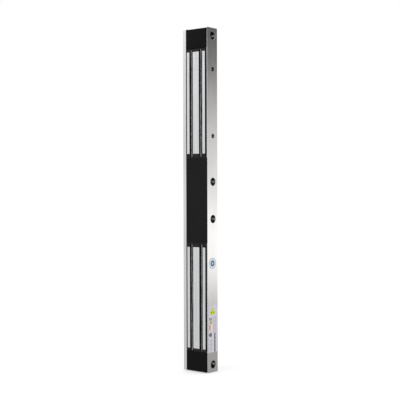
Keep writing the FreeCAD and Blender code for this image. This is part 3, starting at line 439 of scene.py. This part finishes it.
FINISHES = {
    "stainless_steel": stainless(),
    "aluminium": satin_aluminium(),
    "rubber": soft_rubber(),
    "black_plastic": moulded_black("black_plastic_finish", dark=0.0038, light=0.0056),
    "tray_plastic": tray_plastic(),
    "zinc_steel": plated("zinc_finish", dark=0.52, light=0.66, tint=COOL, smooth=0.24, dull=0.38),
    "spring_steel": plated("spring_steel_finish", dark=0.26, light=0.36, tint=COOL, smooth=0.28, dull=0.42),
    "black_oxide": black_oxide(),
    "circuit_board": solder_mask(),
    "terminal_plastic": moulded("terminal_finish", dark=rgb(0.02, 0.15, 0.06), light=rgb(0.03, 0.21, 0.085),
                                smooth=0.34, dull=0.48),
    "varistor": moulded("varistor_finish", dark=rgb(0.02, 0.07, 0.27), light=rgb(0.03, 0.10, 0.36),
                        smooth=0.22, dull=0.34),
    "component_plastic": moulded("component_finish", dark=grey(0.014), light=grey(0.024),
                                 smooth=0.38, dull=0.52),
    "label_film": film("label_film_finish", (0.60, 0.585, 0.64), gloss=0.35),
    "sticker_film": film("sticker_film_finish", (0.90, 0.93, 0.96), gloss=0.25),
    # The core screws: black, with a painted highlight on their front-facing faces.
    "screw_steel": blackened_painted_highlight("core_screw_finish", start=-0.90, end=-0.98, dark=0.003, light=0.7),
    "lead_insulation": moulded("lead_finish", dark=rgb(0.38, 0.012, 0.012), light=rgb(0.5, 0.02, 0.018),
                               smooth=0.36, dull=0.5),
    "core_steel": ground_core(),
    "core_plate": core_plate(),
    "bobbin_nylon": moulded("nylon_finish", dark=rgb(0.62, 0.58, 0.47), light=rgb(0.74, 0.7, 0.6),
                            smooth=0.36, dull=0.5),
    "copper": wound_copper(),
    "epoxy": poured_resin(),
}

# Nodes whose look differs from that of their material slot.
OWN_FINISHES = {
    "centre_cover": moulded_black("cover_finish", dark=0.0088, light=0.0112),
    # The sleeves: blackened, with a painted highlight where their bores face the front, a band of mirrored
    # light at mid-height.
    "bolt_sleeves": blackened_painted_highlight("sleeve_finish", start=-0.94, end=-0.99, dark=0.02, light=0.5),
}


def dress_nodes():
    """Every CAD node takes its own finish, or that of its material slot."""
    for part in frame["record"]["subparts"]:
        materials = frame["nodes"][part["node"]].data.materials
        materials.clear()
        materials.append(OWN_FINISHES.get(part["node"], FINISHES[part["material_slot"]]))


# ---------------------------------------------------------------- pieces

def piece(name, shapes, materials, replaced=(), smooth=False):
    """A mesh piece on the lock's body. Each shape is its points, its faces and their materials' numbers."""
    points, faces, which = [], [], []
    for made, walls, numbers in shapes:
        faces += [tuple(len(points) + corner for corner in face) for face in walls]
        which += numbers
        points += made
    mesh = bpy.data.meshes.new(name)
    mesh.from_pydata(points, [], faces)
    for material in materials:
        mesh.materials.append(material)
    for face, number in zip(mesh.polygons, which):
        face.use_smooth = smooth
        face.material_index = number
    mesh.update()
    made = bpy.data.objects.new(name, mesh)
    bpy.context.scene.collection.objects.link(made)
    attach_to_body(made, BODY)
    if replaced:
        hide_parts(*replaced)


# The resin in a slot: a grid of faces, with a wandering crest whose faces take a painted glint.
# Places across a slot go from -1 at its left wall to 1 at its right wall.
RESIN_ACROSS, RESIN_ALONG = 44, 300
RESIN_CLIMB = 0.35 * MM
RESIN_UNEVEN = 0.1 * MM
CREST_HEIGHT = 0.4 * MM
CREST_SPREAD = 0.24
CREST_SWAY = 0.3
GLINT_WIDTH, GLINT_RAGGED = 0.16, 0.05
SWAY_WAVE, RIPPLE_WAVE, LOCAL_WAVE = 42.0 * MM, 9.0 * MM, 5.0 * MM
SWAY_LAYER, RIPPLE_LAYER, LOCAL_LAYER = 0.0, 5.0, 9.0
FIRST_SEED, SEED_STEP = 1.0, 3.7
CRESTS = {"upper": (-0.4, -0.5), "lower": (-0.42, -0.15)}


def wobble(seed, layer, z, wave):
    """Smooth noise along z."""
    return noise.noise(Vector((seed, layer, z / wave)))


def resin_surface(x_low, x_high, z_low, z_high, y_top, seed, ridge):
    """The points of a slot's resin, row by row, and for each face 1 if it takes the crest's painted glint and
    0 if not.
    """
    points, which = [], []
    for row in range(RESIN_ALONG + 1):
        z = z_low + (z_high - z_low) * row / RESIN_ALONG
        crest = ridge + CREST_SWAY * wobble(seed, SWAY_LAYER, z, SWAY_WAVE)
        ripple = wobble(seed, RIPPLE_LAYER, z, RIPPLE_WAVE)
        for column in range(RESIN_ACROSS + 1):
            across = 2.0 * column / RESIN_ACROSS - 1.0
            uneven = ripple + wobble(seed + across, LOCAL_LAYER, z, LOCAL_WAVE)
            bump = CREST_HEIGHT * math.exp(-((across - crest) / CREST_SPREAD) ** 2)
            climb = RESIN_CLIMB * (1.0 - abs(across) ** 3)
            depth = CREST_HEIGHT + climb - bump + RESIN_UNEVEN * uneven
            x = x_low + (x_high - x_low) * (across + 1.0) / 2.0
            points.append((x, y_top + max(depth, 0.0), z))
            if row < RESIN_ALONG and column < RESIN_ACROSS:
                # Faces near the crest take the painted glint.
                which.append(int(abs(across - crest) < GLINT_WIDTH + GLINT_RAGGED * uneven))
    return points, which


def grid_faces(across, along):
    """The faces of a grid of points."""
    stride = across + 1
    starts = [row * stride + column for row in range(along) for column in range(across)]
    return [(start, start + 1, start + 1 + stride, start + stride) for start in starts]


def grid_rim(across, along):
    """The numbers of a grid's outer points, in order round it."""
    stride = across + 1
    rim = list(range(stride))
    rim += [row * stride + across for row in range(1, along + 1)]
    rim += [along * stride + column for column in range(across - 1, -1, -1)]
    rim += [row * stride for row in range(along - 1, 0, -1)]
    return rim


def strip_of_resin(x_low, x_high, low, high, seed, ridge):
    """The resin in one slot, closed by flat sides and a flat back."""
    points, which = resin_surface(x_low, x_high, low.z, high.z, low.y, seed, ridge)
    faces = grid_faces(RESIN_ACROSS, RESIN_ALONG)
    rim = grid_rim(RESIN_ACROSS, RESIN_ALONG)
    first, count = len(points), len(rim)
    points += [(points[corner][0], high.y, points[corner][2]) for corner in rim]
    for step in range(count):
        after = (step + 1) % count
        faces.append((rim[after], rim[step], first + step, first + after))
    faces.append(tuple(first + step for step in reversed(range(count))))
    which += [0] * (count + 1)
    return points, faces, which


def pour_slots():
    """The resin in each core's two slots, one piece for each magnet."""
    # The second material is the crest's painted glint.
    materials = [FINISHES["epoxy"], painted_glint_resin()]
    seed = FIRST_SEED
    for side in SIDES:
        low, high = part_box(side + "_slot_fill")
        slot_width = (high.x - low.x) / 4  # the middle pole is as wide as both slots together
        strips = []
        for left, ridge in zip((low.x, high.x - slot_width), CRESTS[side]):
            strips.append(strip_of_resin(left, left + slot_width, low, high, seed, ridge))
            seed += SEED_STEP
        piece(side + "_slot_resin", strips, materials, replaced=(side + "_slot_fill",), smooth=True)


# ---------------------------------------------------------------- print

PRINT = 0.05 * MM  # how far print stands over its film


def outline_box(width, height, corner, steps=6):
    """A rectangle about the origin with rounded corners."""
    points = []
    for turn, (across, up) in enumerate(((1, 1), (-1, 1), (-1, -1), (1, -1))):
        for step in range(steps + 1):
            angle = math.pi / 2 * (turn + step / steps)
            points.append((across * (width / 2 - corner) + corner * math.cos(angle),
                           up * (height / 2 - corner) + corner * math.sin(angle)))
    return points


def outline_bar(width, height):
    """A small rectangle about the origin, with its corners just broken."""
    return outline_box(width, height, 0.2 * MM, steps=2)


def outline_ring(radius, count=64):
    """A circle about the origin."""
    angles = [2 * math.pi * step / count for step in range(count)]
    return [(radius * math.cos(angle), radius * math.sin(angle)) for angle in angles]


def slab(outline, centre, x_low, x_high, ink=0):
    """A flat shape on the right wall: its outline in Y and Z, from x_low out to x_high, in one ink."""
    count = len(outline)
    points = [(x, centre[0] + y, centre[1] + z) for x in (x_low, x_high) for y, z in outline]
    faces = [tuple(reversed(range(count))), tuple(range(count, 2 * count))]
    for step in range(count):
        after = (step + 1) % count
        faces.append((step, after, count + after, count + step))
    return points, faces, [ink] * len(faces)


def washer(outer, inner, centre, x_low, x_high, ink):
    """A flat ring on the right wall between two circles, in one ink."""
    outlines = (outline_ring(outer), outline_ring(inner))
    points = [(x, centre[0] + y, centre[1] + z)
              for x in (x_low, x_high) for outline in outlines for y, z in outline]
    count = len(outlines[0])
    high = 2 * count
    faces = []
    for step in range(count):
        after = (step + 1) % count
        out_low, in_low = step, count + step
        out_next, in_next = after, count + after
        faces.append((out_low, in_low, in_next, out_next))
        faces.append((high + out_low, high + out_next, high + in_next, high + in_low))
        faces.append((out_low, out_next, high + out_next, high + out_low))
        faces.append((in_next, in_low, high + in_low, high + in_next))
    return points, faces, [ink] * len(faces)


LABEL_CORNER = 1.2 * MM
LABEL_INKS = {
    "lime": (0.54, 0.62, 0.03),
    "olive": (0.22, 0.27, 0.02),
    "black": (0.02, 0.02, 0.025),
    "gold": (0.36, 0.33, 0.03),
    "peach": (0.92, 0.60, 0.48),
    "brown": (0.27, 0.15, 0.09),
    "pink": (0.74, 0.47, 0.62),
    "grey": (0.10, 0.10, 0.11),
    "pale": (0.40, 0.39, 0.43),
}

# The label's marks. Lengths are in millimetres. A mark's middle is given as shares of the label's width
# from its left and of its height from its top. The lime fields are printed thinner, under the olive bars.
UNDERPRINT = 0.6
FIELDS = (  # width, height, corner, middle, share of the print's thickness, ink
    (12.2, 6.0, 2.9, (0.47, 0.155), UNDERPRINT, "lime"),
    (6.6, 4.0, 1.9, (0.47, 0.082), UNDERPRINT, "lime"),
    (5.0, 9.4, 1.6, (0.35, 0.465), 1.0, "peach"),
    (2.1, 8.0, 1.0, (0.185, 0.465), 1.0, "brown"),
)
BARS = (  # width, height, middle, ink
    (2.6, 2.2, (0.34, 0.15), "olive"),
    (2.6, 2.2, (0.60, 0.15), "olive"),
    (6.8, 1.2, (0.24, 0.276), "grey"),
    (6.8, 1.2, (0.24, 0.302), "grey"),
    (6.6, 1.9, (0.31, 0.547), "pink"),
)
SPOTS = (  # radius, middle, ink
    (2.5, (0.29, 0.36), "gold"),
    (1.0, (0.06, 0.625), "grey"),
)
SPOT_STEPS = 24
RING = (3.0, 0.8, (0.25, 0.625), "black")  # outer and inner radius, middle, ink
COLUMNS = (  # number of bars, width, height, place across, top, bottom, ink, ragged share
    (12, 3.4, 1.1, 0.59, 0.26, 0.58, "pale", 0.3),
    (13, 4.0, 1.0, 0.79, 0.25, 0.59, "pale", 0.6),
    (14, 3.8, 1.5, 0.73, 0.615, 0.985, "black", 0.2),
    (9, 8.4, 1.0, 0.30, 0.74, 0.975, "pale", 0.5),
)


def column_of_bars(count, width, height, across, top, bottom, ink, ragged):
    """Evenly spaced bars whose width steps down by a ragged share, like lines of small print."""
    step = (bottom - top) / (count - 1)
    return [(width * (1.0 - ragged * (index % 3) / 2), height, (across, top + step * index), ink)
            for index in range(count)]


def print_label():
    """The rating label: a film with rounded corners, and plain spots, blocks and bars for its print."""
    low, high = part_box("rating_label")
    width, height = high.y - low.y, high.z - low.z
    film_top = high.x - PRINT
    inks = {name: number for number, name in enumerate(LABEL_INKS)}

    def at(across, down):
        """The place of a mark's middle, in Y and Z."""
        return low.y + across * width, high.z - down * height

    sheet = slab(outline_box(width, height, LABEL_CORNER), at(0.5, 0.5), low.x, film_top)
    piece("label_sheet", [sheet], [FINISHES["label_film"]], replaced=("rating_label",))

    shapes = [slab(outline_box(wide * MM, tall * MM, corner * MM), at(*middle), film_top,
                   film_top + thickness * PRINT, inks[ink])
              for wide, tall, corner, middle, thickness, ink in FIELDS]
    bars = list(BARS)
    for column in COLUMNS:
        bars += column_of_bars(*column)
    shapes += [slab(outline_bar(wide * MM, tall * MM), at(*middle), film_top, high.x, inks[ink])
               for wide, tall, middle, ink in bars]
    shapes += [slab(outline_ring(radius * MM, SPOT_STEPS), at(*middle), film_top, high.x, inks[ink])
               for radius, middle, ink in SPOTS]
    outer, inner, middle, ink = RING
    shapes.append(washer(outer * MM, inner * MM, at(*middle), film_top, high.x, inks[ink]))
    materials = [film("ink_" + name, colour, gloss=0.4) for name, colour in LABEL_INKS.items()]
    piece("label_print", shapes, materials)


STICKER_STEPS = 72
STICKER_RINGS = (  # name and colour of the ink, and the outer and inner radius as shares of the sticker's
    ("rim", (0.36, 0.43, 0.50), 1.0, 0.85),
    ("band", (0.33, 0.43, 0.53), 0.70, 0.56),
    ("navy", (0.015, 0.06, 0.12), 0.50, 0.22),
    ("sky", (0.50, 0.70, 0.90), 0.22, 0.01),
)


def print_sticker():
    """The round sticker: a pale disc with a grey rim, a pale blue band and a plain dark ring."""
    low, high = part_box("round_sticker")
    middle = ((low.y + high.y) / 2, (low.z + high.z) / 2)
    radius = (high.z - low.z) / 2
    film_top = high.x - PRINT
    disc = slab(outline_ring(radius, STICKER_STEPS), middle, low.x, film_top)
    piece("sticker_disc", [disc], [FINISHES["sticker_film"]], replaced=("round_sticker",))
    shapes = [washer(outer * radius, inner * radius, middle, film_top, high.x, number)
              for number, (_, _, outer, inner) in enumerate(STICKER_RINGS)]
    materials = [film("ink_" + name, colour, gloss=0.3) for name, colour, _, _ in STICKER_RINGS]
    piece("sticker_print", shapes, materials)


# ---------------------------------------------------------------- studio

# What mirrors see, as the height of a direction (its sine) and the level of light there: all round the
# lock, and in the part of the studio behind its right side.
AROUND = ((-0.9, 0.55), (-0.2, 0.86), (-0.1, 0.97), (0.0, 1.05), (0.08, 1.12), (0.14, 0.9), (0.9, 1.2))
BESIDE = (
    (-0.32, 0.38), (-0.20, 0.50), (-0.17, 0.50), (-0.148, 0.76), (-0.12, 0.92), (-0.10, 1.4),
    (-0.085, 1.8), (-0.045, 1.85), (-0.025, 1.5), (-0.005, 1.2), (0.037, 1.12), (0.069, 0.9),
    (0.105, 0.50), (0.13, 0.22), (0.16, 0.12), (0.32, 0.08),
)
BESIDE_AIM = (0.62, 0.785, 0.0)
BESIDE_EDGE = (0.55, 0.86)  # cosines of the angle from the aim where that part starts and is full


def by_height(tree, up, stops):
    """A level that follows the direction's height through the stops."""
    first, last = stops[0][0], stops[-1][0]
    ramp = node(tree, "ValToRGB", {"Fac": span(tree, up, first, last)})
    elements = ramp.color_ramp.elements
    elements[0].color, elements[1].color = grey(stops[0][1]), grey(stops[-1][1])
    for height, level in stops[1:-1]:
        elements.new((height - first) / (last - first)).color = grey(level)
    return ramp.outputs[0]


def studio_world():
    """White to the eye and for soft light, with a studio's bright and dim parts in reflections."""
    world = bpy.data.worlds.new("studio")
    bpy.context.scene.world = world
    world.use_nodes = True
    tree = world.node_tree
    tree.nodes.clear()
    towards = node(tree, "TexCoord").outputs["Generated"]
    up = axis_of(tree, towards, "Z")
    aim = tuple(Vector(BESIDE_AIM).normalized())
    near = node(tree, "VectorMath", {0: towards, 1: aim}, operation="DOT_PRODUCT").outputs["Value"]
    around, beside = by_height(tree, up, AROUND), by_height(tree, up, BESIDE)
    studio = blend(tree, fade(tree, near, *BESIDE_EDGE), around, beside)
    plain = node(tree, "Background", {"Color": grey(1.0)})
    mirrored = node(tree, "Background", {"Color": studio})
    glossy = node(tree, "LightPath").outputs["Is Glossy Ray"]
    chosen = node(tree, "MixShader", {0: glossy, 1: plain.outputs[0], 2: mirrored.outputs[0]})
    node(tree, "OutputWorld", {"Surface": chosen.outputs[0]})


def pale_floor():
    """A wide pale floor under the lower end, faintly lit from within to be as bright as the backdrop."""
    reach = 30.0
    level = CAD_LOW[2]
    corners = [(across * reach, away * reach, level) for across, away in ((-1, -1), (1, -1), (1, 1), (-1, 1))]
    mesh = bpy.data.meshes.new("floor")
    mesh.from_pydata(corners, [], [(0, 1, 2, 3)])
    material, tree, shader = finish("floor_finish", Roughness=0.9, Specular_IOR_Level=0.0)
    feed(tree, shader, Emission_Color=grey(1.0), Emission_Strength=0.4)
    feed(tree, shader, Base_Color=tones(tree, grain(tree, "floor"), dark=0.63, light=0.65))
    mesh.materials.append(material)
    floor = bpy.data.objects.new("floor", mesh)
    bpy.context.scene.collection.objects.link(floor)
    floor.visible_glossy = False


def key_light():
    """A square area light in front and above, aimed at the lock's middle. The camera doesn't see it."""
    where = Vector((-0.9, -1.7, 1.3))
    middle = Vector((0.03, 0.0, 0.0))
    light = bpy.data.lights.new("key_box", "AREA")
    light.shape = "SQUARE"
    light.size = 1.1
    light.energy = 9.0
    lamp = bpy.data.objects.new("key_box", light)
    bpy.context.scene.collection.objects.link(lamp)
    lamp.location = where
    lamp.rotation_euler = (middle - where).to_track_quat("-Z", "Y").to_euler()
    lamp.visible_camera = False


def camera():
    """Level with the lock's middle, well round to its right."""
    where = (0.9311, -1.1273, 0.0232)
    heading, pitch, roll = 38.866, 90.0 - 0.897, -0.151
    lens = bpy.data.cameras.new("camera")
    lens.sensor_width = 36.0
    lens.lens = 83.88
    lens.clip_start = 0.01
    made = bpy.data.objects.new("camera", lens)
    bpy.context.scene.collection.objects.link(made)
    placed = Matrix.Translation(where)
    for degrees, axis in ((heading, "Z"), (pitch, "X"), (roll, "Z")):
        placed = placed @ Matrix.Rotation(math.radians(degrees), 4, axis)
    made.matrix_world = placed
    bpy.context.scene.camera = made


dress_nodes()
pour_slots()
print_label()
print_sticker()
studio_world()
pale_floor()
key_light()
camera()
bpy.context.scene.view_settings.view_transform = "Standard"
